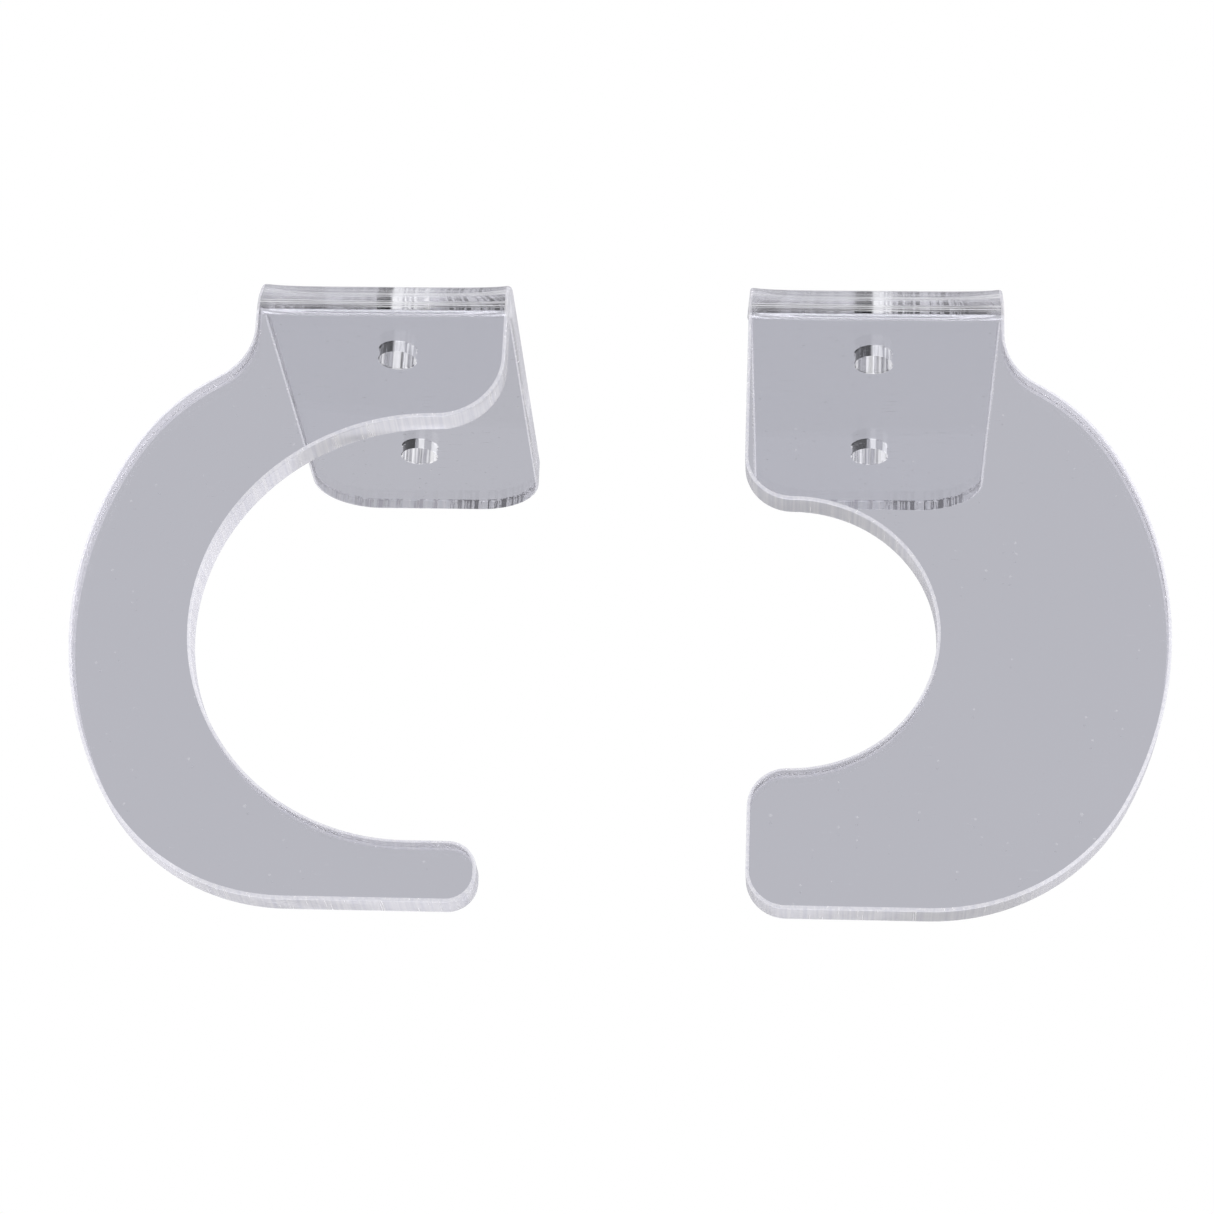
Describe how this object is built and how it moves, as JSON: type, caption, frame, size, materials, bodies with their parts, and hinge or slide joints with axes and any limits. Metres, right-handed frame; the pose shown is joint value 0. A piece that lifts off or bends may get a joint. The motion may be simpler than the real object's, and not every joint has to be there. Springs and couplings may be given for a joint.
{
  "type": "hook bracket",
  "caption": "Clear acrylic hook brackets, each a flat C-shaped plate with a round open throat, bent square at the top into a mounting tab with screw holes.",
  "frame": {"origin": "midway between the large-throat bracket's two screw holes, on the outer face of its tab", "axes": "+Z out of the tabs' mounting faces, +X from the large-throat bracket to the small-throat one, +Y from the hook plates along the tabs"},
  "size_m": [0.167, 0.0784, 0.1058],
  "materials": {
    "clear_acrylic": "clear cast acrylic sheet, glossy faces, laser-cut flame-polished edges"
  },
  "bodies": {
    "large_bracket": {"large_throat_bracket": "clear_acrylic"},
    "small_bracket": {"small_throat_bracket": "clear_acrylic"}
  },
  "joints": [
    {"name": "bracket_spacing", "type": "slide", "parent": "large_bracket", "child": "small_bracket", "axis": [1, 0, 0], "range_m": [-0.036, 0.3]}
  ]
}
